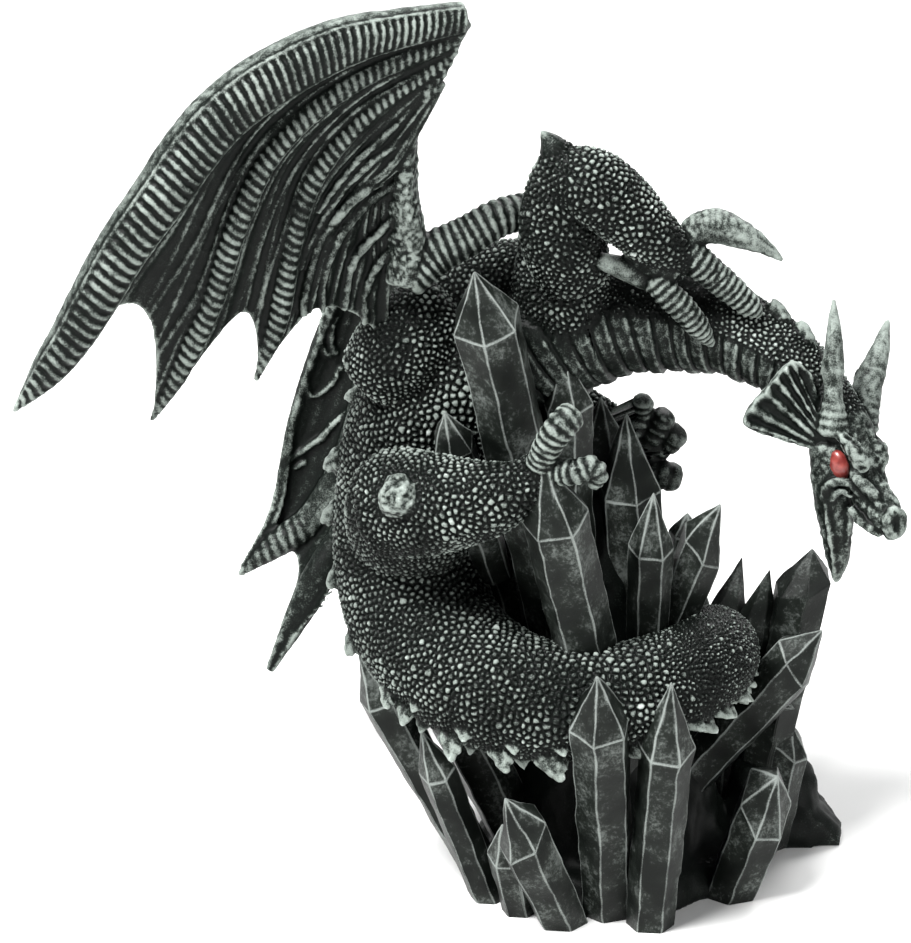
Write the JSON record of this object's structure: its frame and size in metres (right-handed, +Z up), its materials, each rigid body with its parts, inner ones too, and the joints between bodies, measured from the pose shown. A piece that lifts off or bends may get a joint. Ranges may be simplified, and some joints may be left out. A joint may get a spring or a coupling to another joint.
{
  "type": "dragon statue",
  "caption": "Small cast statue of a winged dragon wound round a cluster of pointed crystals, with raised wings, an arched neck and gem eyes.",
  "frame": {"origin": "on the underside, near its middle, on the surface that the statue stands on", "axes": "+Z up; the front view looks along +Y, with +X to its right, where the dragon's head is"},
  "size_m": [0.171, 0.1094, 0.1872],
  "materials": {
    "resin_casting": "near-black resin with silver dry-brushed on scales, rings, folds and edges",
    "eye_gem": "glossy red gem"
  },
  "bodies": {
    "root": {"dragon_on_crystals": "resin_casting", "wing_right": "resin_casting", "wing_left": "resin_casting", "eye_right": "eye_gem", "eye_left": "eye_gem"}
  },
  "joints": []
}
